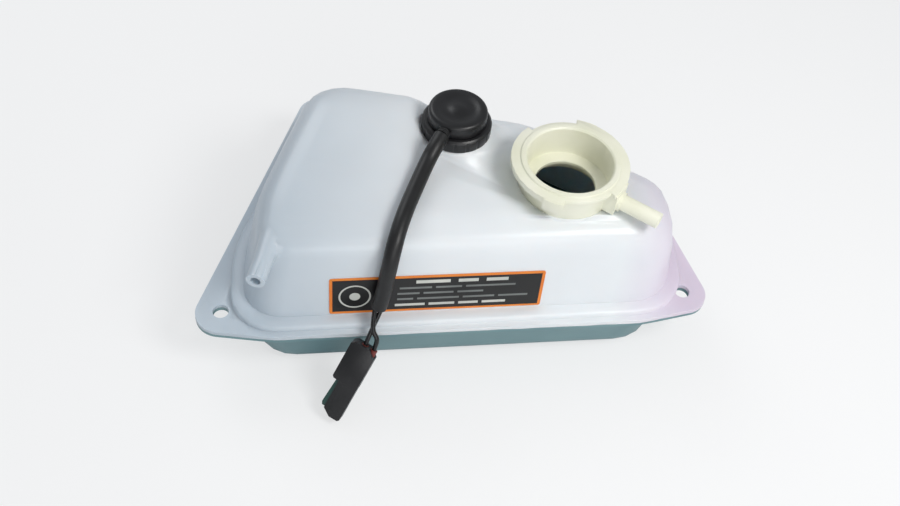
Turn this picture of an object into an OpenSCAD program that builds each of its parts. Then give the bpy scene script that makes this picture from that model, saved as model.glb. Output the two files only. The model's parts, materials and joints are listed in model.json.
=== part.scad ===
// Coolant expansion tank: two welded shells, an open bayonet filler neck and a level sensor
// whose lead ends in a two pole plug. Millimetres, +Z up. The origin is midway between the
// two front fixing holes, on the joint face of the two shells.

/* [Flange] */
// Distance between the two front fixing holes
ear_span = 240; // [236:1:260]
// Radius of the ear round each fixing hole
ear_r = 12.5; // [10:0.5:16]
// Diameter of the fixing holes
ear_hole_d = 8; // [5:0.5:10]
// Distance of the rear fixing hole to the right of the rear left corner
rear_ear_in = 7; // [2:1:14]
// Distance of the rear fixing hole behind the rear left corner
rear_ear_out = 18; // [16:1:26]
// Thickness of the flange of each shell
flange_t = 2.2; // [1.8:0.1:3]
// Width of the flange outside the step
lip_w = 3.2; // [2:0.2:5]

/* [Body plan] */
// From the left fixing hole to the foot of the left wall
left_gap = 11; // [10:1:16]
// From the right fixing hole to the foot of the right wall
right_gap = 7; // [5:1:12]
// Foot of the front wall in front of the holes
body_front = 7.5; // [5:0.5:10]
// Depth of the right side before the back slants away
right_side = 42; // [38:1:50]
// Corner in the back wall to the right of the middle
back_mid_x = 46; // [38:1:56]
// Rear left corner behind the holes
body_back = 122; // [118:1:126]
// How far the back wall comes forward from there to the corner on the right
back_slant = 28; // [22:1:32]
// Rear left corner to the left of the middle
back_left_x = 72; // [68:1:76]
// Width of the step round the foot of the wall
step_w = 6.5; // [5:0.5:8]
// Height of that step over the flange
step_h = 3.4; // [3:0.2:6]

/* [Body section] */
// Wall thickness of both shells
wall_t = 2.6; // [2.2:0.1:3.2]
// Height of the deck round the filler neck
deck_h = 56; // [52:1:60]
// Drop of the deck from there to the front wall
front_drop = 6; // [2:1:10]
// Rise of the left part over the deck at its back
hump_rise = 8; // [4:1:14]
// Lean of the front wall from foot to deck
draft_w = 5; // [3:0.2:8]
// Depth of the lower shell under the joint
tray_depth = 34; // [28:1:38]
// Radius along the bottom edge of the lower shell
tray_r = 10; // [7:0.5:12]

/* [Filler neck] */
// From the neck axis to the foot of the right wall
neck_in = 60; // [57:1:63]
// Neck axis behind the holes
neck_y = 32; // [29:1:35]
// Bore of the throat
throat_d = 43; // [41:0.5:43.5]
// Outer diameter of the neck
neck_d = 48; // [47:0.5:50]
// Outer diameter of the rim between the cams
rim_d = 54; // [52:0.5:56]
// Outer diameter over the two cams
cam_d = 59; // [58:0.5:62]
// Height of the rim over the deck
neck_h = 16; // [15:0.5:20]
// Depth of the cap seat under the rim
seat_depth = 17; // [15.5:0.5:18.5]
// Bore through the cap seat
seat_d = 31; // [26:0.5:34]
// Thickness of a cam where the cap enters
cam_t = 2.4; // [2:0.1:3]
// Extra thickness of a cam at its stop
cam_rise = 1.4; // [0.5:0.1:2]

/* [Spigots] */
// Outer diameter of the overflow spigot on the neck
overflow_d = 8; // [7:0.5:9]
// Bore of the overflow spigot
overflow_bore = 4.5; // [3:0.5:5]
// Reach of the overflow spigot from the neck axis
overflow_reach = 51; // [44:1:56]
// Outer diameter of the vent spigot
vent_d = 9; // [8:0.5:10]
// Bore of the vent spigot
vent_bore = 5; // [4:0.5:6]
// Outer diameter of the hose outlet
outlet_d = 18; // [16:0.5:20]
// Bore of the hose outlet
outlet_bore = 13; // [10:0.5:14]
// Reach of the hose outlet behind the back wall
outlet_reach = 24; // [20:1:30]

/* [Level sensor] */
// Sensor axis to the right of the middle
sensor_x = 2; // [0:0.5:4]
// Sensor axis behind the holes
sensor_y = 70; // [68:0.5:72]
// Outer diameter of the ring nut
nut_d = 36; // [34.5:0.5:38]
// Height of the ring nut
nut_h = 7.2; // [6.8:0.2:9]
// Outer diameter of the sensor head
head_d = 30.4; // [29:0.2:32]
// Height of the sensor head over the ring nut
head_h = 7.3; // [6.5:0.1:10]
// Outer diameter of the threaded spigot under the nut
spigot_d = 30; // [29:0.2:31]
// Bore of that spigot
spigot_bore = 25; // [24:0.5:26]
// Diameter of the stem
stem_d = 7; // [6:0.5:8]
// Bore of the stem
stem_bore = 3.6; // [3:0.1:4.4]
// Length of the stem under the spigot's top
stem_l = 60; // [54:1:64]
// Outer diameter of the float
float_d = 21; // [18:0.5:23]
// Height of the float
float_h = 14; // [12:0.5:18]
// Diameter of the float's magnet ring
magnet_d = 14; // [12:0.5:16]
// Height of the magnet ring
magnet_h = 4; // [3:0.5:6]

/* [Lead] */
// Outer diameter of the sleeve
sleeve_d = 8; // [7:0.5:8.5]
// Diameter of each wire
wire_d = 2.4; // [2:0.2:2.8]
// Distance between the two wires in the plug
wire_gap = 5; // [4:0.2:6]
// Length of the plug
plug_l = 41.5; // [40:0.5:42]
// Width of the plug
plug_w = 14; // [13:0.5:15]
// Thickness of the plug
plug_t = 8; // [7:0.5:9]
// Length of the plug's wide rear half
plug_rear_l = 21; // [17:1:22]

/* [Label] */
// Length of the label
label_l = 107; // [90:1:112]
// Height of the label
label_h = 25; // [20:1:28]
// Middle of the label to the left of the middle
label_x = 13; // [5:1:20]

/* [Hidden] */
$fn = 64;

fit = 0.3;
foot_z = flange_t + step_h;
body_left = ear_span / 2 - left_gap;
body_right = ear_span / 2 - right_gap;
back_mid_y = body_back - back_slant;
rear_ear = [rear_ear_in - back_left_x, body_back + rear_ear_out];
front_h = deck_h - front_drop;
hump_h = deck_h + hump_rise;
neck_x = body_right - neck_in;

// Plan of the upper wall at its foot, anticlockwise from the front left: x, y, corner radius.
// The sides are the front, the right, the slant, the back, the left and the left front
plan = [
    [-body_left, -body_front, 26], [body_right, -body_front, 36],
    [body_right + 4, right_side, 24], [back_mid_x, back_mid_y, 60],
    [-back_left_x, body_back, 34], [-body_left + 1, 36, 60]];
// Lean of each side, and how far its shoulder reaches in over the deck
lean = draft_w * [1, 1.6, 1.8, 1.8, 2, 2];
shoulder = [6, 23, 25, 27, 15, 10];
// Places of the points along each straight, closer together where the hump's flank crosses
straights = [
    [0.06, 0.12, 0.17, 0.2, 0.23, 0.26, 0.3, 0.34, 0.4, 0.5, 0.62, 0.75, 0.88], [0.5],
    [0.25, 0.5, 0.75], [0.12, 0.25, 0.36, 0.43, 0.48, 0.53, 0.58, 0.66, 0.76, 0.88],
    [0.15, 0.3, 0.45, 0.6, 0.75, 0.88], [0.33, 0.67]];
// Steps round each corner
corner_n = [5, 5, 3, 3, 5, 2];

function unit(v) = v / norm(v);
function turned(v) = [-v[1], v[0]];
function cross2(a, b) = a[0] * b[1] - a[1] * b[0];
function xy(p) = [p[0], p[1]];
function near(i) = (i + len(plan)) % len(plan);
function mix(a, b, t) = a * (1 - t) + b * t;
function smooth(t) = let (u = max(0, min(1, t))) u * u * (3 - 2 * u);
function same(d) = [for (p = plan) d];

// A plan with each side moved in by its own distance
function moved_in(v, d) = [for (i = [0 : len(v) - 1])
    let (a = xy(v[near(i - 1)]), b = xy(v[i]), c = xy(v[near(i + 1)]))
    let (u = unit(b - a), w = unit(c - b), before = d[near(i - 1)])
    let (p = b + before * turned(u), q = b + d[i] * turned(w))
    concat(p + u * cross2(q - p, w) / cross2(u, w), max(5, v[i][2] - (before + d[i]) / 2))];

// The arc round one corner, which takes less than half of the shorter side next to it
function corner(v, i) =
    let (a = xy(v[near(i - 1)]), b = xy(v[i]), c = xy(v[near(i + 1)]))
    let (u = unit(b - a), w = unit(c - b), turn = acos(u * w))
    let (back = min(v[i][2] * tan(turn / 2), 0.45 * norm(b - a), 0.45 * norm(c - b)))
    let (r = back / tan(turn / 2), start = b - back * u, from = atan2(-u[0], u[1]))
    [for (k = [0 : corner_n[i]]) let (a = from + turn * k / corner_n[i])
        start + r * turned(u) + r * [cos(a), sin(a)]];

// A rounded outline that has the same points, side by side, whatever the inset
function outline(v, d) =
    let (m = moved_in(v, d), arcs = [for (i = [0 : len(m) - 1]) corner(m, i)])
    [for (i = [0 : len(m) - 1]) each concat(arcs[i],
        [for (s = straights[i]) mix(arcs[i][corner_n[i]], arcs[near(i + 1)][0], s)])];

function level(points, z) = [for (p = points) [p[0], p[1], z]];

// Height of the deck. It climbs from the front wall, and the left part rises into a hump whose
// right flank runs from the front towards the sensor
flank_x = -38.5;
flank_lean = 0.3;
flank_w = 12;
flank_more = 0.1;
climb_w = 24;
rise_w = 105;
function deck(p) =
    let (low = front_h + (deck_h - front_h) * smooth((p[1] + body_front) / climb_w))
    let (back = max(0, min(1, (p[1] + body_front) / rise_w)))
    let (high = front_h + (hump_h - front_h) * pow(sin(90 * back), 0.8))
    let (side = (flank_x + flank_lean * p[1] - p[0]) / (flank_w + flank_more * max(0, p[1])))
    mix(low, high, smooth(side + 0.5));
function lifted(points, drop) = [for (p = points) [p[0], p[1], deck(p) - drop]];

// A closed outline is filled by a patch of across by deep cells, whose columns run from the
// front to the back like the flank does. Its first corner is point first of the outline
points_n = len(outline(plan, same(0)));
first = 2;
across = 18;
deep = points_n / 2 - across;
function at_edge(i, j) = let (n = points_n)
    j == 0 ? first + i : i == across ? first + across + j
    : j == deep ? first + 2 * across + deep - i : (first - j + n) % n;
function patch(o) = [for (i = [1 : across - 1]) for (j = [1 : deep - 1])
    let (u = i / across, v = j / deep)
    mix(o[at_edge(i, 0)], o[at_edge(i, deep)], v) + mix(o[at_edge(0, j)], o[at_edge(across, j)], u)
        - mix(mix(o[at_edge(0, 0)], o[at_edge(across, 0)], u),
            mix(o[at_edge(0, deep)], o[at_edge(across, deep)], u), v)];

// Rows of one skin of the upper shell, from the foot of the wall to the edge of the deck
neck_axis = [neck_x, neck_y];
deck_edge = outline(plan, lean + shoulder);
function skin(t) =
    let (foot = level(outline(plan, same(t)), foot_z - t))
    let (top = lifted(outline(plan, [for (w = lean) w + t]), t))
    let (rim = lifted(deck_edge, t))
    let (start = [for (i = [0 : len(foot) - 1])
        mix(top[i], foot[i], min(0.85, norm(xy(top[i]) - xy(rim[i])) / norm(top[i] - foot[i])))])
    concat(
        [for (k = [0 : 3]) [for (i = [0 : len(foot) - 1]) mix(foot[i], start[i], k / 3)]],
        [for (k = [1 : 5]) let (s = k / 5) [for (i = [0 : len(foot) - 1])
            mix(mix(start[i], top[i], s), mix(top[i], rim[i], s), s)]]);

// The lower shell follows the step, with a wider corner at its front right, and it stands on
// a low flat pad
tray_plan = [for (i = [0 : len(plan) - 1])
    [plan[i][0], plan[i][1], plan[i][2] + (i == 1 ? 26 : 0)]];
tray_side = [1, 5, 3, 1, 6, 7] - same(step_w);
tray_lean = 4;
pad_h = 0.4;
tray_bottom = tray_depth - pad_h;
tray_straight = tray_bottom - flange_t - tray_r;
function tray_level(in, z) = level(outline(tray_plan, tray_side + same(in)), z);
function tray_skin(t) = concat(
    [tray_level(t, flange_t / 2)],
    [for (k = [0 : 2]) tray_level(t + tray_lean * k / 2, flange_t + tray_straight * k / 2)],
    [for (k = [1 : 4]) let (a = 22.5 * k, r = tray_r - t)
        tray_level(tray_lean + t + r * (1 - cos(a)), tray_bottom - tray_r + r * sin(a))]);
function tray_floor(t) =
    level(patch(outline(tray_plan, tray_side + same(tray_lean + tray_r))), tray_bottom - t);

// Triangles between the rows, and in a patch inside the last row
function band(rows) = [for (r = [0 : rows - 2]) for (i = [0 : points_n - 1])
    let (n = points_n, j = (i + 1) % n) each [
        [r * n + i, (r + 1) * n + j, r * n + j],
        [r * n + i, (r + 1) * n + i, (r + 1) * n + j]]];
function vertex(i, j, rows) =
    i == 0 || j == 0 || i == across || j == deep ? (rows - 1) * points_n + at_edge(i, j)
    : rows * points_n + (i - 1) * (deep - 1) + j - 1;
function filled(rows) = [for (i = [0 : across - 1]) for (j = [0 : deep - 1]) each [
    [vertex(i, j, rows), vertex(i, j + 1, rows), vertex(i + 1, j, rows)],
    [vertex(i + 1, j, rows), vertex(i, j + 1, rows), vertex(i + 1, j + 1, rows)]]];
function turned_over(faces) = [for (f = faces) [f[2], f[1], f[0]]];
function later(faces, by) = [for (f = faces) [for (v = f) v + by]];

// A wall between an outer and an inner skin, whose rows go from the open edge to the patch
module wall_between(outer, outer_patch, inner, inner_patch) {
    n = points_n;
    points = concat([for (r = outer) each r], outer_patch, [for (r = inner) each r], inner_patch);
    past = len(outer) * n + len(outer_patch);
    edge = [for (i = [0 : n - 1]) let (j = (i + 1) % n) each [
        [i, j, past + j], [i, past + j, past + i]]];
    faces = concat(
        band(len(outer)), filled(len(outer)),
        later(turned_over(concat(band(len(inner)), filled(len(inner)))), past), edge);
    polyhedron(points, faces, convexity = 6);
}

module ear_spots() {
    for (p = [[-ear_span / 2, 0], [ear_span / 2, 0], rear_ear]) translate(p) children();
}

// The flange has straight webs from ear to ear, outside the step round the wall
module flange_plate(inner) {
    linear_extrude(flange_t) difference() {
        hull() {
            ear_spots() circle(ear_r);
            polygon(outline(plan, same(-step_w - lip_w)));
        }
        polygon(inner);
        ear_spots() circle(d = ear_hole_d);
    }
}

// A round bar from one point to another
module bar(from, to, d1, d2) {
    way = to - from;
    translate(from) rotate([0, acos(way[2] / norm(way)), atan2(way[1], way[0])])
        cylinder(h = norm(way), d1 = d1, d2 = d2);
}

// Heights of the neck
neck_top = deck_h + neck_h;
neck_seat_z = deck_h - 1;
neck_plug_d = neck_d - 4;
seat_t = 2.5;
rim_t = 3.2;

// The nut's recess, the pad that it bears on, and the vent spigot
sensor_axis = [sensor_x, sensor_y];
pad_z = deck(sensor_axis) + 0.4;
thread_h = 3.4;
vent_root = [17 - body_left, 11, deck_h - 8];
vent_tip = vent_root + [-8.6, -28, 0];
vent_way = unit(vent_tip - vent_root);
vent_cone = 18;

module upper_shell() color([0.90, 0.93, 0.95]) {
    under = foot_z - wall_t;
    outer = concat([
        level(outline(plan, same(-step_w)), flange_t / 2),
        level(outline(plan, same(-step_w)), foot_z - 1),
        level(outline(plan, same(-step_w + 1)), foot_z - 0.2),
        level(outline(plan, same(-1.2)), foot_z)], skin(0));
    inner = concat([
        level(outline(plan, same(-step_w + wall_t)), flange_t / 2),
        level(outline(plan, same(-step_w + wall_t)), under)], skin(wall_t));
    middle = patch(deck_edge);
    difference() {
        union() {
            flange_plate(outline(plan, same(-step_w + wall_t + 0.8)));
            wall_between(outer, lifted(middle, 0), inner, lifted(middle, wall_t));
            translate(concat(neck_axis, neck_seat_z - 7)) cylinder(h = 7, d = neck_d + 2);
            translate(concat(sensor_axis, pad_z - 7)) cylinder(h = 7, d = nut_d + 2);
            bar(vent_root, vent_tip, vent_d, vent_d);
            bar(vent_root, vent_root + vent_cone * vent_way, vent_d + 3, vent_d);
        }
        translate(concat(neck_axis, neck_seat_z)) cylinder(h = 20, d = neck_d + 2 * fit);
        translate(concat(neck_axis, neck_seat_z - 12)) cylinder(h = 20, d = neck_plug_d + 2 * fit);
        translate(concat(sensor_axis, pad_z)) difference() {
            cylinder(h = 20, d = nut_d + 2);
            translate([0, 0, -1]) cylinder(h = 1 + thread_h, d = spigot_d);
        }
        translate(concat(sensor_axis, pad_z - 12)) cylinder(h = 20, d = spigot_bore);
        bar(vent_root - 4 * vent_way, vent_tip + vent_way, vent_bore, vent_bore);
    }
}

// Hose outlet, low in the back wall, which runs from one rear corner to the other
outlet_x = 0;
outlet_z = -flange_t - outlet_d / 2 - 3;
outlet_share = (back_mid_x - outlet_x) / (back_mid_x + back_left_x);
outlet_wall = mix(back_mid_y, body_back, outlet_share) - tray_side[3] - tray_lean / 2;
outlet_boss = 7;
module outlet_bar(from, to, d)
    bar([outlet_x, outlet_wall + from, outlet_z], [outlet_x, outlet_wall + to, outlet_z], d, d);

module lower_shell() color([0.45, 0.56, 0.57]) difference() {
    union() {
        mirror([0, 0, 1]) {
            flange_plate(outline(tray_plan, tray_side + same(wall_t + 0.8)));
            wall_between(tray_skin(0), tray_floor(0), tray_skin(wall_t), tray_floor(wall_t));
        }
        translate([0, 0, -tray_depth]) linear_extrude(pad_h + wall_t / 2)
            polygon(outline(tray_plan, tray_side + same(tray_lean + tray_r + 1)));
        outlet_bar(-6, outlet_boss, outlet_d + 4);
        outlet_bar(0, outlet_reach, outlet_d);
    }
    outlet_bar(-12, outlet_reach + 1, outlet_bore);
}

// One cam: its underside drops from the entry to the stop, and the stop hangs lower
cam_count = 2;
cam_sweep = 126;
cam_entry = 126;
stop_sweep = 20;
stop_h = 7;
cam_n = 13;
cam_root = neck_d / 2 - 1;
module cam() {
    lift = cam_rise / cam_n;
    rows = [for (k = [0 : cam_n]) let (a = cam_sweep * k / cam_n, c = [cos(a), sin(a)])
        let (top = neck_top - 1, low = top - cam_t - lift * k)
        [concat(c * cam_root, low), concat(c * cam_d / 2, low),
            concat(c * cam_d / 2, top), concat(c * cam_root, top)]];
    last = cam_n * 4;
    polyhedron([for (r = rows) each r],
        concat([[3, 2, 1, 0], [last, last + 1, last + 2, last + 3]],
            [for (k = [0 : cam_n - 1]) for (i = [0 : 3]) let (a = 4 * k, j = (i + 1) % 4) each [
                [a + i, a + j, a + 4 + i], [a + j, a + 4 + j, a + 4 + i]]]), convexity = 4);
}
module cam_stop() {
    translate([0, 0, neck_top - 1 - stop_h]) rotate([0, 0, cam_sweep + 1 - stop_sweep])
        rotate_extrude(angle = stop_sweep) translate([cam_root + 0.4, 0])
            square([cam_d / 2 + 0.1 - cam_root, stop_h - 0.3]);
}

overflow_angle = -39.5;
overflow_z = neck_top - 10.5;
overflow_boss = 31;

module filler_neck() color([0.90, 0.90, 0.78]) translate(concat(neck_axis, 0)) difference() {
    union() {
        rotate_extrude() polygon([
            [throat_d / 2, neck_top - 0.8], [throat_d / 2 + 0.8, neck_top],
            [rim_d / 2 - 2.4, neck_top], [rim_d / 2 - 2, neck_top - 0.8],
            [rim_d / 2, neck_top - 1.2], [rim_d / 2, neck_top - rim_t],
            [neck_d / 2, neck_top - rim_t - 1], [neck_d / 2, neck_seat_z],
            [neck_plug_d / 2, neck_seat_z], [neck_plug_d / 2, neck_seat_z - 9],
            [neck_plug_d / 2 - 2, neck_seat_z - 9],
            [neck_plug_d / 2 - 2.5, neck_top - seat_depth - seat_t - 1],
            [seat_d / 2 + 1, neck_top - seat_depth - seat_t],
            [seat_d / 2, neck_top - seat_depth - seat_t], [seat_d / 2, neck_top - seat_depth - 0.6],
            [seat_d / 2 + 1, neck_top - seat_depth], [throat_d / 2, neck_top - seat_depth]]);
        for (k = [0 : cam_count - 1]) rotate([0, 0, cam_entry + 360 * k / cam_count]) {
            cam();
            cam_stop();
        }
        rotate([0, 0, overflow_angle]) {
            translate([throat_d / 2 + 1, -6, overflow_z - overflow_d / 2 - 1])
                cube([cam_d / 2 - throat_d / 2 - 1, 12, neck_top - 2 - overflow_z + overflow_d / 2]);
            translate([throat_d / 2 + 1, 0, overflow_z]) rotate([0, 90, 0])
                cylinder(h = overflow_boss - throat_d / 2 - 1, d = overflow_d + 2);
            translate([throat_d / 2 + 1, 0, overflow_z]) rotate([0, 90, 0])
                cylinder(h = overflow_reach - throat_d / 2 - 1, d = overflow_d);
        }
    }
    rotate([0, 0, overflow_angle]) translate([throat_d / 2 - 2, 0, overflow_z]) rotate([0, 90, 0])
        cylinder(h = overflow_reach, d = overflow_bore);
}

// The label lies on the front wall, which leans back, least where the raised part starts
label_end = [-label_x - label_l / 2, draft_w - body_front];
wall_angle = atan(draft_w / (deck(label_end) - foot_z));
module front_label() color([0.1, 0.1, 0.1])
    translate([-label_x, -body_front, foot_z]) rotate([-wall_angle, 0, 0])
        translate([-label_l / 2, -0.35, 1]) cube([label_l, 0.3, label_h]);

// Heights of the sensor, from the pad up: nut, thread, gasket, flange, lip of the nut
nut_z = pad_z + fit;
nut_top = nut_z + nut_h;
lip_t = 1.4;
lip_d = spigot_bore + 1;
gasket_t = 1;
gasket_z = pad_z + thread_h;
body_flange_z = gasket_z + gasket_t;
body_flange_t = nut_top - lip_t - fit - body_flange_z;
nut_bore = spigot_d + 2 * fit;
plug_end_z = gasket_z - 10;
stem_end_z = gasket_z - stem_l;

module at_sensor(z) translate(concat(sensor_axis, z)) children();

module ring_nut() color([0.08, 0.08, 0.08]) at_sensor(nut_z) difference() {
    rotate_extrude() polygon([
        [nut_bore / 2, 0], [nut_d / 2 - 0.6, 0], [nut_d / 2, 0.6], [nut_d / 2, nut_h - 1.2],
        [nut_d / 2 - 1.2, nut_h], [lip_d / 2, nut_h], [lip_d / 2, nut_h - lip_t],
        [nut_bore / 2, nut_h - lip_t]]);
    for (a = [0 : 20 : 359]) rotate([0, 0, a]) translate([nut_d / 2 + 0.9, 0, -1])
        cylinder(h = nut_h + 2, d = 2.4, $fn = 24);
}

module sensor_body() color([0.12, 0.12, 0.12]) at_sensor(0) rotate_extrude() polygon([
    [0, stem_end_z], [stem_d / 2 - 0.5, stem_end_z], [stem_d / 2, stem_end_z + 0.5],
    [stem_d / 2, clip_z], [stem_d / 2 - groove, clip_z], [stem_d / 2 - groove, clip_z + clip_t],
    [stem_d / 2, clip_z + clip_t], [stem_d / 2, plug_end_z], [spigot_bore / 2 - 1.2, plug_end_z],
    [spigot_bore / 2 - fit, plug_end_z + 1], [spigot_bore / 2 - fit, gasket_z],
    [spigot_bore / 2 - fit, body_flange_z], [spigot_d / 2 - 0.3, body_flange_z],
    [spigot_d / 2 - 0.3, body_flange_z + body_flange_t], [post_r, body_flange_z + body_flange_t],
    [post_r, cap_z + cap_post], [stem_bore / 2, cap_z + cap_post],
    [stem_bore / 2, stem_end_z + 2], [0, stem_end_z + 2]]);

// The cap sits on the body's post, and the lead's gland lies in a slot in its side
post_r = lip_d / 2 - 1;
cap_z = nut_top + fit;
cap_post = head_h - 3.5;
cap_edge = 2.6;
gland_d = sleeve_d - 3;
gland_z = cap_z + gland_d / 2 + fit + 0.6;
gland_from = post_r + 0.6;
gland_neck = head_d / 2 + 0.4;
gland_to = nut_d / 2 + 1;
lead_angle = -122.5;

// A place on the lead's way out of the sensor, at a distance from the sensor's axis
function lead_out(r) = [sensor_x + r * cos(lead_angle), sensor_y + r * sin(lead_angle), gland_z];

module sensor_cap() color([0.07, 0.07, 0.07]) difference() {
    at_sensor(cap_z) rotate_extrude() {
        polygon([
            [post_r + fit, 0], [head_d / 2, 0], [head_d / 2, head_h - cap_edge],
            [head_d / 2 - cap_edge, head_h - cap_edge], [head_d / 2 - cap_edge, head_h],
            [0, head_h], [0, cap_post], [post_r + fit, cap_post]]);
        translate([head_d / 2 - cap_edge, head_h - cap_edge]) intersection() {
            circle(cap_edge);
            square(cap_edge);
        }
    }
    bar(lead_out(post_r - 1), lead_out(head_d), gland_d + 2 * fit, gland_d + 2 * fit);
}

module sensor_gasket() color([0.15, 0.15, 0.15]) at_sensor(gasket_z) difference() {
    cylinder(h = gasket_t, d = spigot_d - 0.6);
    translate([0, 0, -1]) cylinder(h = gasket_t + 2, d = spigot_bore);
}

reed_d = 2.6;
reed_l = 14;
module reed_switch() color([0.6, 0.8, 0.7]) at_sensor(stem_end_z + 2) {
    cylinder(h = 4.2, d = 0.7, $fn = 24);
    translate([0, 0, 4]) cylinder(h = reed_l, d = reed_d, $fn = 32);
    translate([0, 0, 3.8 + reed_l]) cylinder(h = 6, d = 0.7, $fn = 24);
}

// The float rests on its clip when the tank is empty
clip_t = 1.2;
groove = 0.8;
clip_z = stem_end_z + 4;
float_z = clip_z + clip_t;
float_bore = stem_d + 1.2;
magnet_z = float_z + 3;
module level_float() color([0.85, 0.85, 0.8]) at_sensor(float_z) difference() {
    rotate_extrude() polygon([
        [float_bore / 2, 0], [float_d / 2 - 1.5, 0], [float_d / 2, 1.5],
        [float_d / 2, float_h - 1.5], [float_d / 2 - 1.5, float_h], [float_bore / 2, float_h]]);
    translate([0, 0, magnet_z - float_z]) magnet_ring();
}
module magnet_ring() difference() {
    cylinder(h = magnet_h, d = magnet_d);
    translate([0, 0, -1]) cylinder(h = magnet_h + 2, d = float_bore + 2);
}
module float_magnet() color([0.3, 0.3, 0.32]) at_sensor(magnet_z) magnet_ring();

module float_clip() color([0.75, 0.75, 0.75]) at_sensor(clip_z) difference() {
    cylinder(h = clip_t, d = stem_d + 4);
    translate([0, 0, -1]) cylinder(h = clip_t + 2, d = stem_d - 2 * groove);
    translate([0, -0.9, -1]) cube([stem_d, 1.8, clip_t + 2]);
}

module lead_gland() color([0.10, 0.10, 0.10])
    translate(lead_out(0)) rotate([0, 90, lead_angle]) rotate_extrude() polygon([
        [0, gland_from], [gland_d / 2, gland_from], [gland_d / 2, gland_neck],
        [sleeve_d / 2, gland_to], [0, gland_to]]);

// A cord is a row of rings along a smooth line through its points. Each ring is square to the
// line, with its first corner as near to +X as that allows, and the end rings are square to the
// ways of what they meet
cord_steps = 2;
function along(p, t) = let (n = len(p) - 1, i = min(floor(t), n - 1), u = t - i)
    let (a = i > 0 ? p[i - 1] : 2 * p[0] - p[1], b = p[i], c = p[i + 1])
    let (d = i + 2 > n ? 2 * p[n] - p[n - 1] : p[i + 2])
    b + u * (c - a) / 2 + u * u * (2 * a - 5 * b + 4 * c - d) / 2
        + u * u * u * (3 * b - a - 3 * c + d) / 2;
module cord(p, d, sides, from, to) {
    last = (len(p) - 1) * cord_steps;
    line = [for (k = [0 : last]) along(p, k / cord_steps)];
    ways = [for (k = [0 : last]) k == 0 ? from : k == last ? to : line[k + 1] - line[k - 1]];
    rings = [for (k = [0 : last]) let (w = unit(ways[k]), v = unit(cross(w, [1, 0, 0])))
        [for (i = [0 : sides - 1]) let (a = 360 * i / sides)
            line[k] + d / 2 * (cos(a) * cross(v, w) + sin(a) * v)]];
    polyhedron([for (r = rings) each r], concat(
        [[for (i = [0 : sides - 1]) i], [for (i = [1 : sides]) (last + 1) * sides - i]],
        [for (k = [0 : last - 1]) for (i = [0 : sides - 1])
            let (a = k * sides, b = a + sides, j = (i + 1) % sides) each [
                [a + i, b + j, a + j], [a + i, b + i, b + j]]]), convexity = 4);
}

// The lead: over the collar, down the deck beside the hump, and in front of the label
lead_points = [
    lead_out(gland_to), [-12, 48, deck_h + 10], [-16.5, 41, deck_h + 6.5],
    [-24, 25, deck_h + 4.8], [-29, 13.5, deck_h + 4.2], [-33, 3.5, deck_h + 2.4],
    [-36, -4.5, deck_h - 1.5], [-38, -9, deck_h - 9], [-39.5, -10, deck_h - 21], [-41, -11, 24],
    [-42.5, -12, 17]];
lead_end = lead_points[len(lead_points) - 1];
lead_end_way = lead_end - lead_points[len(lead_points) - 2];
wire_apart = 1.7 * unit(cross(lead_end_way, [0, 1, 0]));
module lead_sleeve() color([0.05, 0.05, 0.05])
    cord(lead_points, sleeve_d, 12, lead_out(1) - lead_out(0), lead_end_way);

// The plug hangs in front of the tank
plug_at = [-49, -24, 1.5];
plug_heading = -136.5;
plug_dip = 49;
plug_roll = -18;
module at_plug() translate(plug_at) rotate([0, plug_dip, plug_heading]) rotate([plug_roll, 0, 0])
    children();
plug_way = [cos(plug_dip) * cos(plug_heading), cos(plug_dip) * sin(plug_heading), -sin(plug_dip)];
level_right = [-sin(plug_heading), cos(plug_heading), 0];
plug_right = cos(plug_roll) * level_right + sin(plug_roll) * cross(plug_way, level_right);
front_left = -3.1;
front_right = plug_w / 2 - 0.1;
pole_left = (front_left + front_right - wire_gap) / 2;
pole_right = pole_left + wire_gap;
function at_pole(pole) = plug_at + pole * plug_right;

// The wires cross on their way to the plug
module wire_left() color([0.06, 0.06, 0.06]) cord([
    lead_end - wire_apart, [-45.4, -17, 13], [-45.6, -21, 9.5], [-44, -24, 6],
    at_pole(pole_right)], wire_d, 8, lead_end_way, plug_way);
module wire_right() color([0.06, 0.06, 0.06]) cord([
    lead_end + wire_apart, [-42.8, -14.5, 13], [-45.4, -18, 9], [-47.4, -21, 5.8],
    at_pole(pole_left)], wire_d, 8, lead_end_way, plug_way);

seal_d = wire_d + 1.4;
seal_l = 6;
pin_d = 2.4;
front_t = plug_t - 1.4;
module plug_housing() color([0.05, 0.06, 0.06]) at_plug() difference() {
    union() {
        translate([0, 0, -plug_t / 2]) linear_extrude(plug_t) polygon([
            [1.4, -plug_w / 2], [plug_rear_l, -plug_w / 2], [plug_rear_l + 1, -plug_w / 2 + 1],
            [plug_rear_l + 1, plug_w / 2], [4, plug_w / 2], [0, plug_w / 2 - 4],
            [0, 2 - plug_w / 2]]);
        translate([0, 0, -front_t / 2]) linear_extrude(front_t) polygon([
            [plug_rear_l, front_left], [plug_l - 3, front_left], [plug_l, front_left + 4.4],
            [plug_l, front_right - 0.9], [plug_l - 0.9, front_right], [plug_rear_l, front_right]]);
        translate([0, 0, -front_t / 2 + 1]) linear_extrude(front_t - 2) polygon([
            [plug_rear_l, front_left + 0.5], [plug_rear_l, front_left - 1.4],
            [plug_l - 5, front_left - 2.4], [plug_l - 3.4, front_left - 1.6],
            [plug_l - 3.4, front_left + 0.5]]);
    }
    for (pole = [pole_left, pole_right]) translate([-1, pole, 0]) rotate([0, 90, 0]) {
        cylinder(h = plug_l + 2, d = pin_d + 2 * fit, $fn = 32);
        cylinder(h = seal_l + 1, d = seal_d + 2 * fit, $fn = 32);
    }
}

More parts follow.
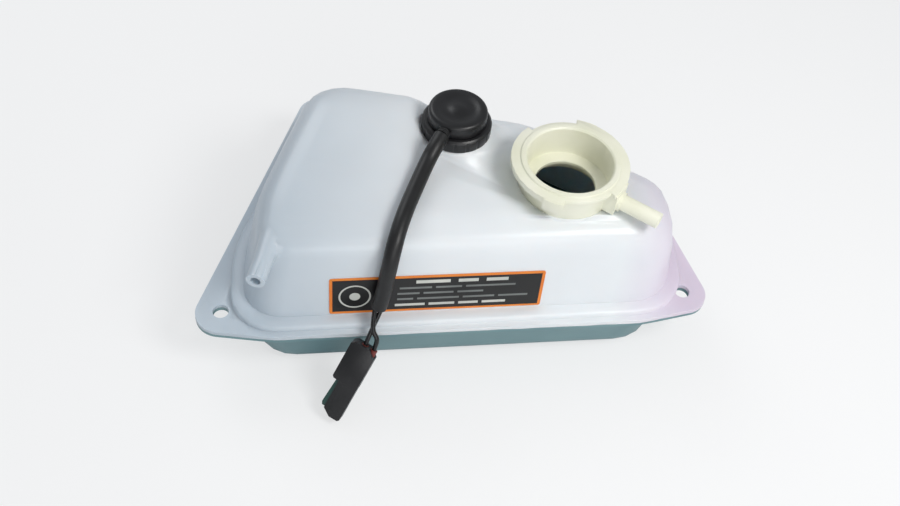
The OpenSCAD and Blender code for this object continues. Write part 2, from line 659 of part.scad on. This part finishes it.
module on_pole(pole, from) at_plug() translate([from, pole, 0]) rotate([0, 90, 0]) children();
module seal_left() color([0.35, 0.12, 0.10]) on_pole(pole_left, 0)
    cylinder(h = seal_l, d = seal_d, $fn = 32);
module seal_right() color([0.35, 0.12, 0.10]) on_pole(pole_right, 0)
    cylinder(h = seal_l, d = seal_d, $fn = 32);
module terminal(pole) on_pole(pole, seal_l) difference() {
    cylinder(h = plug_l - seal_l - 1.5, d = pin_d, $fn = 32);
    translate([0, 0, plug_l - seal_l - 10]) cylinder(h = 10, d = pin_d - 1, $fn = 32);
}
module terminal_left() color([0.72, 0.66, 0.45]) terminal(pole_left);
module terminal_right() color([0.72, 0.66, 0.45]) terminal(pole_right);

upper_shell();
lower_shell();
filler_neck();
front_label();
ring_nut();
sensor_body();
sensor_cap();
sensor_gasket();
reed_switch();
level_float();
float_magnet();
float_clip();
lead_gland();
lead_sleeve();
wire_left();
wire_right();
seal_left();
seal_right();
plug_housing();
terminal_left();
terminal_right();
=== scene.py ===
# %% [markdown]
# # A coolant expansion tank
# The tank is two moulded halves welded flange to flange: a milky upper shell with a hump on its
# left, and a lower one whose grey-teal is partly its own tint and partly painted shade. An ivory
# filler neck stands open on the right, a float sensor is screwed into the middle, and the sensor's
# lead hangs over the front and ends in a small plug.
# The CAD model is the fixed frame. Here each part gets the surface that it has in real life.

# %% Load the fixed frame
import json
from math import atan, cos, pi, radians, sin

import bpy
from mathutils import Matrix, Vector, geometry, noise

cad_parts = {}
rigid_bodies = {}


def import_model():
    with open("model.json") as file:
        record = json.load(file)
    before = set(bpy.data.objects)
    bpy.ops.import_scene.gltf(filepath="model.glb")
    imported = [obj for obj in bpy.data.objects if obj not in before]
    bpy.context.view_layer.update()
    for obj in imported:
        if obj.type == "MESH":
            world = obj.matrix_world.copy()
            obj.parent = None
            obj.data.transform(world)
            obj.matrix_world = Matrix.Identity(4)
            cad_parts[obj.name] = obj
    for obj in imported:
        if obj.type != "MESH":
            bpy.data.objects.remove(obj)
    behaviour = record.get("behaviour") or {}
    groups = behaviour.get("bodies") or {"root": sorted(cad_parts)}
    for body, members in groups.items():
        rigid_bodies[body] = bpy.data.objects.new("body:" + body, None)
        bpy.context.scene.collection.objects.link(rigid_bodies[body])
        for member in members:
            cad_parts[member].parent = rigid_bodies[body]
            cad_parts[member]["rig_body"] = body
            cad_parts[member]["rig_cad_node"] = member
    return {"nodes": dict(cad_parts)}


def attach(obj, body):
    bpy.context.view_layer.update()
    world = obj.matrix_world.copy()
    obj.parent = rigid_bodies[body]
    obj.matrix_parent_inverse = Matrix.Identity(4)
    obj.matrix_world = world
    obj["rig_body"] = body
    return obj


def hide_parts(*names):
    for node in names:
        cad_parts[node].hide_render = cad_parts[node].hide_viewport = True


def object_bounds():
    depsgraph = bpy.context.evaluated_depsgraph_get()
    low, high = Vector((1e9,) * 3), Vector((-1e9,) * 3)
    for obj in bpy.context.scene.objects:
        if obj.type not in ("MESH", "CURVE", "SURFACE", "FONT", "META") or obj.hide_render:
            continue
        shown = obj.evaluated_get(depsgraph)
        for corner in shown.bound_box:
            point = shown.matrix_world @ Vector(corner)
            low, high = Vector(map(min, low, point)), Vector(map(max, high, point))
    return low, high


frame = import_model()
cad_low, cad_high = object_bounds()
MM = 0.001
print("size in mm:", [round(v / MM) for v in cad_high - cad_low])

# %% [markdown]
# ## The camera
# The photograph looks down on the tank from a little to the left, with an ordinary short
# telephoto lens. The place and the turn of the camera were worked out from the flange, whose
# front edge is straight and whose two front holes lie at a known distance.

# %% Camera
bpy.ops.object.select_all(action="DESELECT")
camera_place = (-0.0803, -0.3126, 0.4360)
camera_turn = Matrix((
    (0.9892, 0.0362, -0.1422), (-0.1170, 0.7795, -0.6154), (0.0886, 0.6254, 0.7753)))
bpy.ops.object.camera_add(location=camera_place)
camera = bpy.context.object
camera.rotation_euler = camera_turn.to_quaternion().to_euler()
camera.data.sensor_width = 36
camera.data.lens = 42
camera.data.clip_start = 0.01
bpy.context.scene.camera = camera
print("camera looks down by", round(90 - camera.rotation_euler.x * 180 / pi), "degrees")

# %% [markdown]
# ## Working habits
# An operator acts on whatever is selected, so every step first leaves only its own piece
# selected. These small helpers do that, pick faces by their place, and put a finished piece's
# place into its mesh.

# %% Helpers for selecting and placing
def alone(*things):
    bpy.ops.object.select_all(action="DESELECT")
    for thing in things:
        thing.select_set(True)
    bpy.context.view_layer.objects.active = things[0]


def edit(piece, kind="FACE"):
    alone(piece)
    bpy.ops.object.mode_set(mode="EDIT")
    bpy.ops.mesh.select_mode(type=kind)
    bpy.ops.mesh.select_all(action="DESELECT")


def done():
    bpy.ops.object.mode_set(mode="OBJECT")


def pick_faces(piece, test):
    edit(piece)
    done()
    for face in piece.data.polygons:
        face.select = bool(test(face.center, face.normal))
    bpy.ops.object.mode_set(mode="EDIT")


def settle(piece, place=Matrix.Identity(4)):
    bpy.context.view_layer.update()
    piece.matrix_world = place @ piece.matrix_world
    alone(piece)
    bpy.ops.object.transform_apply(location=True, rotation=True, scale=True)
    return piece


def count(piece):
    print(piece.name, "has", len(piece.data.polygons), "faces")


# %% Helpers for edges and for casts of CAD parts
SAME_PLACE = 2e-6
ONE_PLANE = radians(0.2)


def soften(piece, width, angle=40, steps=2, smooth=40):
    alone(piece)
    bpy.ops.object.modifier_add(type="BEVEL")
    bevel = piece.modifiers[-1]
    bevel.width, bevel.segments = width, steps
    bevel.limit_method, bevel.angle_limit = "ANGLE", radians(angle)
    bpy.ops.object.modifier_apply(modifier=bevel.name)
    bpy.ops.object.shade_smooth_by_angle(angle=radians(smooth))


def cast_of(node, name):
    alone(frame["nodes"][node])
    bpy.ops.object.duplicate()
    piece = bpy.context.object
    piece.name, piece.parent = name, None
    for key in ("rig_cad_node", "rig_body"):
        del piece[key]
    piece.data.materials.clear()
    edit(piece)
    bpy.ops.mesh.select_all(action="SELECT")
    bpy.ops.mesh.remove_doubles(threshold=SAME_PLACE)
    bpy.ops.mesh.dissolve_limited(angle_limit=ONE_PLANE)
    done()
    return piece


# %% [markdown]
# ## Finishes
# All of the tank is plastic, and plastic gives itself away by three things: a colour that
# drifts a little over the part, a skin that is never quite even, and a soft gloss. So each
# finish has a slow cloud in its colour, a fine bump, and a roughness that wanders. They all
# read Object coordinates, so a pattern stays on its piece when the piece moves.

# %% A helper for moulded finishes
def tone(red, green, blue):
    linear = [((v / 255 + 0.055) / 1.055) ** 2.4 if v > 10 else v / 255 / 12.92
              for v in (red, green, blue)]
    return (*linear, 1)


def add(tree, kind, **sockets):
    made = tree.nodes.new(kind)
    for name, value in sockets.items():
        socket = made.inputs[name.replace("_", " ")]
        if isinstance(value, bpy.types.NodeSocket):
            tree.links.new(value, socket)
        else:
            socket.default_value = value
    return made


def moulded(name, light, dark, rough, cloud, grain, bump, wander=0.1):
    material = bpy.data.materials.new(name)
    material.use_nodes = True
    tree = material.node_tree
    shader = tree.nodes["Principled BSDF"]
    place = tree.nodes.new("ShaderNodeTexCoord").outputs["Object"]
    drift = add(tree, "ShaderNodeTexNoise", Vector=place, Scale=cloud, Detail=3)
    ramp = add(tree, "ShaderNodeValToRGB", Fac=drift.outputs["Fac"])
    low, high = ramp.color_ramp.elements
    low.position, low.color = 0.3, dark
    high.position, high.color = 0.7, light
    tree.links.new(ramp.outputs["Color"], shader.inputs["Base Color"])
    gloss = add(tree, "ShaderNodeMapRange", Value=drift.outputs["Fac"],
                To_Min=rough - wander / 2, To_Max=rough + wander / 2)
    tree.links.new(gloss.outputs["Result"], shader.inputs["Roughness"])
    skin = add(tree, "ShaderNodeTexNoise", Vector=place, Scale=grain, Detail=2)
    relief = add(tree, "ShaderNodeBump", Height=skin.outputs["Fac"], Distance=bump, Strength=1)
    tree.links.new(relief.outputs["Normal"], shader.inputs["Normal"])
    print("finish", name)
    return material


def put_on(piece, finish):
    piece.data.materials.clear()
    piece.data.materials.append(finish)


# %% [markdown]
# ## The lead
# The lead leaves the sensor towards the viewer, drops over the collar, follows the hollow
# beside the hump, and hangs free in front of the label. It is a vinyl sleeve of 8 mm, and two
# thin wires come out of its end. A curve is the right tool for a cord: it keeps one diameter
# wherever it goes. Its points are the CAD route's, rounded off by a curve through them.

# %% A smooth line through points
def along(points, t):
    last = len(points) - 1
    i = min(int(t), last - 1)
    u = t - i
    b, c = points[i], points[i + 1]
    a = points[i - 1] if i else 2 * b - c
    d = points[i + 2] if i + 2 <= last else 2 * c - b
    return (b + u * (c - a) / 2 + u * u * (2 * a - 5 * b + 4 * c - d) / 2
            + u * u * u * (3 * b - a - 3 * c + d) / 2)


def smooth_line(points, steps):
    points = [Vector(p) * MM for p in points]
    return [along(points, k / steps) for k in range((len(points) - 1) * steps + 1)]


def length_of(line):
    return sum((b - a).length for a, b in zip(line, line[1:]))


def tube(name, line, diameter, roundness):
    bpy.ops.object.select_all(action="DESELECT")
    bpy.ops.curve.primitive_nurbs_path_add()
    cord = bpy.context.object
    cord.name = name
    cord.location = (0, 0, 0)
    cord.data.splines.clear()
    spline = cord.data.splines.new("POLY")
    spline.points.add(len(line) - 1)
    for point, p in zip(spline.points, line):
        point.co = (*p, 1)
    spline.use_smooth = True
    cord.data.bevel_depth = diameter / 2
    cord.data.bevel_resolution = roundness
    cord.data.use_fill_caps = True
    print(name, "is", round(length_of(line) / MM, 1), "mm long")
    return cord


# %% Sleeve
SLEEVE = 8 * MM
WIRE = 2.4 * MM
CURVE_STEPS = 6
lead_turn = radians(-122.5)
gland_way = Vector((cos(lead_turn), sin(lead_turn), 0))
gland_centre = Vector((2, 70, 67.6))
gland_reach = 19
sleeve_line = smooth_line([
    gland_centre + gland_reach * gland_way, (-12, 48, 66), (-16.5, 41, 62.5), (-24, 25, 60.8),
    (-29, 13.5, 60.2), (-33, 3.5, 58.4), (-36, -4.5, 54.5), (-38, -9, 47), (-39.5, -10, 35),
    (-41, -11, 24), (-42.5, -12, 17)], CURVE_STEPS)
sleeve = tube("sleeve", sleeve_line, SLEEVE, 6)

# %% Where the plug hangs, and where its two poles are
plug_heading, plug_dip, plug_roll = radians(-136.5), radians(49), radians(-18)
plug_place = (Matrix.Translation(Vector((-49, -24, 1.5)) * MM)
              @ Matrix.Rotation(plug_heading, 4, "Z") @ Matrix.Rotation(plug_dip, 4, "Y")
              @ Matrix.Rotation(plug_roll, 4, "X"))


def at_pole(across):
    return plug_place @ (Vector((0, across, 0)) * MM) / MM


# %% The two wires, which cross on their way to the plug
wire_left = tube("wire_left_run", smooth_line([
    (-44.16, -12, 17.36), (-45.4, -17, 13), (-45.6, -21, 9.5), (-44, -24, 6),
    at_pole(4.4)], CURVE_STEPS), WIRE, 3)
wire_right = tube("wire_right_run", smooth_line([
    (-40.84, -12, 16.64), (-42.8, -14.5, 13), (-45.4, -18, 9), (-47.4, -21, 5.8),
    at_pole(-0.6)], CURVE_STEPS), WIRE, 3)

# %% [markdown]
# ## The two shells
# The CAD shells already have the right form, down to the wall's lean and the hollow beside the
# hump. A cast of each is merged and gets smooth shading up to a wide angle, because a moulded
# tank has no sharp edge anywhere except where something was added to it. The milky plastic
# lets some light in, which is what subsurface scattering is for.

# %% Milky plastic with painted shade: greyer on the left and a little lilac at the right end
HALF_WIDTH = 0.13


def milky_painted_shade(name, left, middle, right, rough):
    material = moulded(name, (0.97, 0.97, 0.97, 1), (0.9, 0.9, 0.9, 1),
                       rough, 14, 700, 0.00002, 0.08)
    tree = material.node_tree
    shader = tree.nodes["Principled BSDF"]
    clouds = shader.inputs["Base Color"].links[0].from_socket
    place = tree.nodes.new("ShaderNodeTexCoord").outputs["Object"]
    # A ramp across the width paints shade into the colour: blue-grey on the left, which gets less
    # light, and a lilac painted shade at the right end.
    across = add(tree, "ShaderNodeSeparateXYZ", Vector=place).outputs["X"]
    share = add(tree, "ShaderNodeMapRange", Value=across, From_Min=-HALF_WIDTH, From_Max=HALF_WIDTH)
    ramp = add(tree, "ShaderNodeValToRGB", Fac=share.outputs["Result"])
    shade_stops = ramp.color_ramp.elements
    shade_stops[0].position, shade_stops[0].color = 0.1, left
    shade_stops[1].position, shade_stops[1].color = 0.95, right
    for at in (0.45, 0.8):
        stop = shade_stops.new(at)
        stop.color = middle
    mixed = tree.nodes.new("ShaderNodeMix")
    mixed.data_type, mixed.blend_type = "RGBA", "MULTIPLY"
    mixed.inputs[0].default_value = 1
    tree.links.new(ramp.outputs["Color"], mixed.inputs[6])
    tree.links.new(clouds, mixed.inputs[7])
    tree.links.new(mixed.outputs[2], shader.inputs["Base Color"])
    shader.inputs["Subsurface Weight"].default_value = 0.25
    shader.inputs["Subsurface Radius"].default_value = (0.8, 1, 1.1)
    shader.inputs["Subsurface Scale"].default_value = 0.003
    return material


# Left: painted shade in blue-grey; middle: the plastic's own white; right: lilac painted shade.
milky_shell = milky_painted_shade("milky_plastic_painted_shade", tone(196, 208, 218), tone(238, 242, 245),
                    tone(226, 214, 230), 0.3)
# The lower shell's dark grey-teal is partly the plastic's own tint and partly painted shade, for
# the tray that lies in shade under the flange.
grey_shell = moulded("grey_plastic_painted_shade", tone(118, 150, 154), tone(98, 132, 138),
                     0.36, 20, 700, 0.00002)

# %% Upper shell
SOFT_FORM = radians(50)
upper = cast_of("upper_shell", "upper_skin")
alone(upper)
bpy.ops.object.shade_smooth_by_angle(angle=SOFT_FORM)
put_on(upper, milky_shell)
count(upper)

# %% Lower shell
lower = cast_of("lower_shell", "lower_skin")
alone(lower)
bpy.ops.object.shade_smooth_by_angle(angle=SOFT_FORM)
put_on(lower, grey_shell)
count(lower)

# %% [markdown]
# ## The filler neck
# The neck is a separate moulding in ivory plastic. It takes a bayonet cap: two cams run round
# the outside below the rim, each with a stop at its end. Its edges are small and even, so a
# bevel on every edge over 40 degrees is all that the cast needs.

# %% Filler neck
ivory = moulded("ivory_plastic", tone(244, 243, 226), tone(232, 232, 208),
                0.32, 40, 800, 0.00002)
neck = cast_of("filler_neck", "neck_moulding")
soften(neck, 0.25 * MM)
put_on(neck, ivory)
count(neck)

# %% [markdown]
# ## The label
# A thin film is stuck on the front wall, which leans back. The real one's print isn't copied:
# it has plain bars and a ring instead. The film is modelled flat, where insetting its face
# gives the coloured border, and is then laid on the wall.

# %% Printed finishes and the label's place on the wall
def printed(name, light, dark, rough):
    return moulded(name, light, dark, rough, 60, 1500, 0.000008)


black_print = printed("black_print", tone(16, 14, 14), tone(8, 8, 9), 0.35)
orange_print = printed("orange_print", tone(240, 140, 48), tone(226, 118, 30), 0.35)
pale_print = printed("pale_print", tone(214, 214, 206), tone(190, 192, 186), 0.4)
dim_print = printed("dim_print", tone(124, 128, 126), tone(104, 108, 106), 0.4)
wall_foot, wall_top, wall_set_back = 5.6, 51.76, 5
wall_lean = atan(wall_set_back / (wall_top - wall_foot))
label_place = (Matrix.Translation(Vector((-13, -7.5, wall_foot)) * MM)
               @ Matrix.Rotation(-wall_lean, 4, "X") @ Matrix.Rotation(pi / 2, 4, "X"))

# %% Film with its border
film_long, film_high, film_thick, film_gap, film_from = 107, 25, 0.3, 0.05, 1
bpy.ops.object.select_all(action="DESELECT")
bpy.ops.mesh.primitive_plane_add(
    size=1, location=(0, (film_from + film_high / 2) * MM, film_gap * MM))
film = bpy.context.object
film.name = "label_film"
film.scale = (film_long * MM, film_high * MM, 1)
settle(film)
edit(film, "VERT")
bpy.ops.mesh.select_all(action="SELECT")
bpy.ops.mesh.bevel(offset=1.2 * MM, segments=4, affect="VERTICES")
bpy.ops.mesh.select_mode(type="FACE")
bpy.ops.mesh.select_all(action="SELECT")
bpy.ops.mesh.extrude_region_move(TRANSFORM_OT_translate={"value": (0, 0, film_thick * MM)})
done()
pick_faces(film, lambda centre, normal: normal.z > 0.9 and centre.z > film_thick * MM)
bpy.ops.mesh.inset(thickness=1.5 * MM)
done()
film.data.materials.append(orange_print)
film.data.materials.append(black_print)
for face in film.data.polygons:
    face.material_index = int(face.select)
settle(film, label_place)
count(film)

# %% Bars. Each row has its height on the film, its thickness, and where its bars start and end
print_lift = film_gap + film_thick + 0.03
rows = [
    (21.8, 2.2, (-11, 6), (10, 20), (24, 35)),
    (17.6, 1.3, (-19, -3), (-1, 12), (14, 39)),
    (13.7, 1.3, (-20, -9), (-7, 8), (10, 23)),
    (9.8, 1.3, (-20, -12), (-10, 11), (13, 29), (31, 46)),
    (5.6, 1.7, (-21, -6), (-4, 9), (11, 21), (23, 35))]
bars = []
for height, thick, *spans in rows:
    for start, end in spans:
        bpy.ops.object.select_all(action="DESELECT")
        bpy.ops.mesh.primitive_plane_add(
            size=1, location=((start + end) / 2 * MM, height * MM, print_lift * MM))
        bar = bpy.context.object
        bar.scale = ((end - start) * MM, thick * MM, 1)
        settle(bar)
        put_on(bar, pale_print if thick > 1.5 else dim_print)
        bars.append(bar)
print(len(bars), "bars")

# %% Ring with a dot in it
ring_centre = Vector((-41, 13, print_lift)) * MM
bpy.ops.object.select_all(action="DESELECT")
bpy.ops.mesh.primitive_circle_add(vertices=48, radius=8 * MM, fill_type="NGON",
                                  location=ring_centre)
ring = bpy.context.object
edit(ring)
bpy.ops.mesh.select_all(action="SELECT")
bpy.ops.mesh.inset(thickness=0.9 * MM)
bpy.ops.mesh.inset(thickness=4.4 * MM)
done()
settle(ring)
put_on(ring, pale_print)
pick_faces(ring, lambda centre, normal: 3 * MM < (centre - ring_centre).length < 6.6 * MM)
bpy.ops.mesh.delete(type="FACE")
done()
alone(*bars, ring)
bpy.ops.object.join()
print_layer = bpy.context.object
print_layer.name = "label_print"
settle(print_layer, label_place)
count(print_layer)

# %% [markdown]
# ## The sensor
# Everything on the sensor is black nylon: a collar with finger notches, a cap with a rounded
# edge, and a rubber gland where the lead comes out. Black hides form, so what shows is the
# glint on each edge. That is why the cap gets a wide bevel and a shallow dish on top.

# %% Black nylon, rubber and vinyl, and the cords' finishes
black_nylon = moulded("black_nylon", tone(26, 26, 28), tone(16, 16, 18), 0.36, 80, 900, 0.00004)
black_rubber = moulded("black_rubber", tone(30, 30, 31), tone(18, 18, 19), 0.6, 80, 700, 0.00005)
sleeve_vinyl = moulded("sleeve_vinyl", tone(20, 20, 21), tone(10, 10, 11),
                       0.45, 120, 500, 0.00008)
wire_vinyl = moulded("wire_vinyl", tone(22, 22, 24), tone(12, 12, 13), 0.22, 120, 900, 0.00002)
for cord, finish in ((sleeve, sleeve_vinyl), (wire_left, wire_vinyl), (wire_right, wire_vinyl)):
    put_on(cord, finish)

# %% Collar
collar = cast_of("ring_nut", "collar_ring")
soften(collar, 0.3 * MM)
put_on(collar, black_nylon)
count(collar)

# %% Cap
cap_base, cap_high, cap_radius = 64.2, 7.3, 15.2
bpy.ops.object.select_all(action="DESELECT")
bpy.ops.mesh.primitive_cylinder_add(
    vertices=64, radius=cap_radius * MM, depth=cap_high * MM,
    location=(gland_centre.x * MM, gland_centre.y * MM, (cap_base + cap_high / 2) * MM))
cap = bpy.context.object
cap.name = "sensor_head"
settle(cap)
pick_faces(cap, lambda centre, normal: normal.z > 0.9)
bpy.ops.mesh.bevel(offset=2.2 * MM, segments=5, affect="EDGES")
done()
pick_faces(cap, lambda centre, normal: normal.z > 0.99)
bpy.ops.mesh.inset(thickness=2.4 * MM)
bpy.ops.mesh.inset(thickness=0.8 * MM, depth=-0.5 * MM)
bpy.ops.mesh.inset(thickness=5.4 * MM)
bpy.ops.mesh.inset(thickness=0.5 * MM, depth=0.3 * MM)
done()
pick_faces(cap, lambda centre, normal: normal.z < -0.9)
bpy.ops.mesh.inset(thickness=2.9 * MM)
bpy.ops.mesh.extrude_region_move(TRANSFORM_OT_translate={"value": (0, 0, 3.8 * MM)})
done()
soften(cap, 0.2 * MM, 50)
put_on(cap, black_nylon)
count(cap)

# %% Gland, a rubber cone with grip rings: each step's length and how much it widens
gland_steps = ((0.3, 1.25), (0.6, 1), (0.2, 0.9), (0.3, 1), (0.2, 1.2), (0.7, 1), (0.2, 0.92),
               (0.3, 1), (0.2, 1.22), (0.4, 1))
bpy.ops.object.select_all(action="DESELECT")
bpy.ops.mesh.primitive_cylinder_add(vertices=32, radius=2.5 * MM, depth=3 * MM,
                                    location=(0, 0, 14.1 * MM))
gland = bpy.context.object
gland.name = "lead_boot"
settle(gland)
pick_faces(gland, lambda centre, normal: normal.z > 0.9)
for rise, grow in gland_steps:
    bpy.ops.mesh.extrude_region_move(TRANSFORM_OT_translate={"value": (0, 0, rise * MM)})
    bpy.ops.transform.resize(value=(grow, grow, 1))
done()
settle(gland, Matrix.Translation(gland_centre * MM) @ Matrix.Rotation(lead_turn, 4, "Z")
       @ Matrix.Rotation(pi / 2, 4, "Y"))
alone(gland)
bpy.ops.object.shade_smooth_by_angle(angle=radians(30))
put_on(gland, black_rubber)
count(gland)

# %% [markdown]
# ## The plug
# The plug is a small two pole housing: a wide rear half that the wires enter through rubber
# seals, and a narrower nose with a keying rib on its left. The rib is moulded in the same black
# nylon, and its dark green is a painted greenish glint.

# %% Plug housing. The rib's faces are found by their place along, across and through the plug
rib_from, rib_to, rib_right, rib_half = 21.4, 38.5, -3.2, 2.35
painted_green_glint = moulded("painted_green_glint_nylon", tone(34, 74, 68), tone(22, 54, 50),
                     0.3, 90, 900, 0.00003)
plug = cast_of("plug_housing", "plug_shell")
soften(plug, 0.35 * MM)
put_on(plug, black_nylon)
# The rib's faces get a green tint, a painted greenish glint on the black nylon.
plug.data.materials.append(painted_green_glint)
back = plug_place.inverted()
for face in plug.data.polygons:
    here = back @ face.center / MM
    face.material_index = int(
        rib_from < here.x < rib_to and here.y < rib_right and abs(here.z) < rib_half)
count(plug)

# %% [markdown]
# ## The weld
# Where the two flanges were pressed together hot, a little plastic was squeezed out. It shows
# as an uneven thread round the edge. The flange is the tightest band round its three ears, so
# its outline is the hull of the points on the joint, and a thin tube follows it.

# %% Thread of squeezed plastic
bead_step, bead_sink, bead = 2.5 * MM, 0.25 * MM, 0.9 * MM
joint_points = [v.co.xy for v in lower.data.vertices if abs(v.co.z) < 1e-6]
outline = [joint_points[i] for i in geometry.convex_hull_2d(joint_points)]
rim = []
for a, b in zip(outline, outline[1:] + outline[:1]):
    pieces = max(1, round((b - a).length / bead_step))
    rim += [a.lerp(b, k / pieces) for k in range(pieces)]
middle = sum(rim, Vector((0, 0))) / len(rim)
rim = [p + (middle - p).normalized() * bead_sink for p in rim]
weld = tube("weld_thread", [Vector((*p, 0)) for p in rim], bead, 2)
weld.data.use_fill_caps = False
weld.data.splines[0].use_cyclic_u = True
for k, point in enumerate(weld.data.splines[0].points):
    point.radius = 0.75 + 0.5 * noise.noise(Vector((k * 0.23, 0, 0)))
put_on(weld, milky_shell)

# %% [markdown]
# ## The parts that stay as the CAD has them
# The stem, the float and its magnet, the clip, the seals and the terminals are turned parts
# whose form is already exact. They only need their finish.

# %% Finishes for the inner parts
def metal(name, light, dark, rough):
    material = moulded(name, light, dark, rough, 200, 1200, 0.00001)
    material.node_tree.nodes["Principled BSDF"].inputs["Metallic"].default_value = 1
    return material


foam = moulded("float_foam", tone(222, 218, 200), tone(200, 196, 178), 0.7, 300, 1500, 0.0001)
magnet = moulded("magnet", tone(70, 70, 74), tone(48, 48, 52), 0.5, 200, 900, 0.00004)
glass = moulded("reed_glass", tone(150, 190, 168), tone(130, 172, 150), 0.1, 200, 900, 0.00001)
steel = metal("clip_steel", tone(196, 196, 198), tone(170, 170, 174), 0.3)
brass = metal("tinned_brass", tone(206, 192, 150), tone(184, 168, 124), 0.28)
seal = moulded("seal_rubber", tone(120, 48, 40), tone(96, 36, 30), 0.55, 200, 900, 0.00003)
kept = {
    "sensor_body": black_nylon, "sensor_gasket": black_rubber, "reed_switch": glass,
    "level_float": foam, "float_magnet": magnet, "float_clip": steel,
    "seal_left": seal, "seal_right": seal, "terminal_left": brass, "terminal_right": brass}
for name, finish in kept.items():
    put_on(frame["nodes"][name], finish)
print(len(kept), "parts keep their CAD form")

# %% [markdown]
# ## What each piece rides on, and what it stands for

# %% Replaced nodes, bodies and material slots
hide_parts("upper_shell")
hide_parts("lower_shell")
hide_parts("filler_neck")
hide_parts("front_label")
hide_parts("ring_nut")
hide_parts("sensor_cap")
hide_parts("lead_gland")
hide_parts("lead_sleeve")
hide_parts("wire_left")
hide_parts("wire_right")
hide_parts("plug_housing")
rides = (
    (upper, "tank", "milky_shell"), (lower, "tank", "grey_shell"), (weld, "tank", "milky_shell"),
    (neck, "tank", "ivory_neck"), (film, "tank", "label_film"),
    (print_layer, "tank", "label_film"), (collar, "collar", "black_nylon"),
    (cap, "sensor", "black_nylon"), (gland, "sensor", "black_rubber"),
    (sleeve, "sensor", "sleeve_vinyl"), (wire_left, "sensor", "wire_vinyl"),
    (wire_right, "sensor", "wire_vinyl"), (plug, "sensor", "black_nylon"))
for piece, body, slot in rides:
    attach(piece, body)

# %% [markdown]
# ## Floor, lamps and world
# The tank stands on a plain white floor. The floor's own colour makes the background white for
# the camera, and the lamps stay at a level at which a colour renders about as it is written.

# %% Floor
GLOW_SEEN = 0.6
bpy.ops.object.select_all(action="DESELECT")
bpy.ops.mesh.primitive_plane_add(size=8, location=(0, 0, cad_low.z))
floor = bpy.context.object
floor.name = "floor"
white = bpy.data.materials.new("white_floor")
white.use_nodes = True
tree = white.node_tree
tree.nodes.remove(tree.nodes["Principled BSDF"])
paper = add(tree, "ShaderNodeBsdfDiffuse", Color=(0.86, 0.87, 0.88, 1))
glow = add(tree, "ShaderNodeEmission", Color=(1, 1, 1, 1), Strength=1.0)
ray = tree.nodes.new("ShaderNodeLightPath")
share = add(tree, "ShaderNodeMath", Value=ray.outputs["Is Camera Ray"])
share.operation = "MULTIPLY"
share.inputs[1].default_value = GLOW_SEEN
both = tree.nodes.new("ShaderNodeMixShader")
tree.links.new(share.outputs[0], both.inputs[0])
tree.links.new(paper.outputs[0], both.inputs[1])
tree.links.new(glow.outputs[0], both.inputs[2])
tree.links.new(both.outputs[0], tree.nodes["Material Output"].inputs["Surface"])
put_on(floor, white)

# %% Lamps
def lamp(name, place, aim, size, power, colour=(1, 1, 1)):
    bpy.ops.object.select_all(action="DESELECT")
    bpy.ops.object.light_add(type="AREA", location=place)
    made = bpy.context.object
    made.name = name
    made.data.shape = "DISK"
    made.data.size, made.data.energy, made.data.color = size, power, colour
    way = Vector(aim) - Vector(place)
    made.rotation_euler = way.to_track_quat("-Z", "Y").to_euler()
    print(name, "stands", round(way.length, 2), "m away")


lamp("key_lamp", (0.34, -0.30, 0.62), (0.02, 0.03, 0.03), 0.3, 2.6, (1, 0.99, 0.97))
lamp("front_lamp", (0.05, -0.9, 0.45), (0, 0, 0.02), 0.7, 2.2)
lamp("back_lamp", (-0.4, 0.7, 0.7), (0, 0.03, 0.03), 0.6, 2.0, (0.96, 0.98, 1))
world = bpy.data.worlds.new("soft_room")
bpy.context.scene.world = world
world.use_nodes = True
sky = world.node_tree.nodes["Background"]
sky.inputs["Color"].default_value = (0.93, 0.96, 1, 1)
sky.inputs["Strength"].default_value = 0.42
bpy.context.scene.view_settings.view_transform = "Standard"
